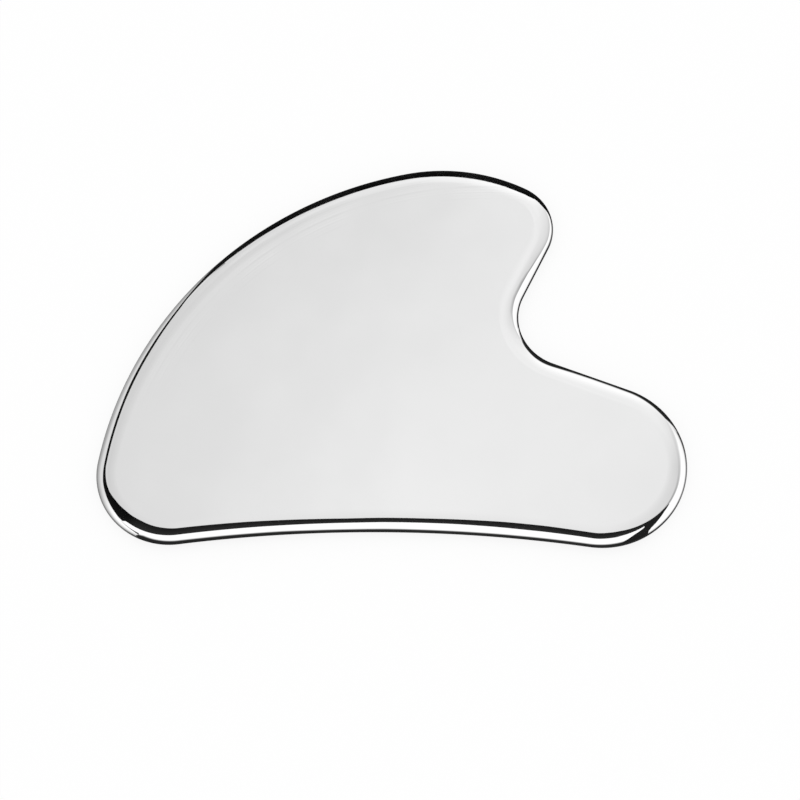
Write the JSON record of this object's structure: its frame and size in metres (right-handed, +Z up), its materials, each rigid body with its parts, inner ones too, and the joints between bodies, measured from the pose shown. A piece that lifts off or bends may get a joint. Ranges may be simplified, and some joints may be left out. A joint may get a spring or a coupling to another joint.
{
  "type": "gua sha scraper",
  "caption": "Flat hand-held massage plate of mirror-polished steel with a rounded rim, a long convex side, a shallow hollow side and a deep hollow between two end lobes.",
  "frame": {"origin": "under the middle of the plate's outline, on the lower flat face", "axes": "+Z up out of the flat faces, +X along the plate's length from the rounded heel to the broad toe lobe, +Y across it from the shallow hollow side to the long convex side"},
  "size_m": [0.09, 0.063, 0.003],
  "materials": {
    "polished_steel": "mirror-polished stainless steel, bare and without a coating"
  },
  "bodies": {
    "root": {"scraper_plate": "polished_steel"}
  },
  "joints": []
}
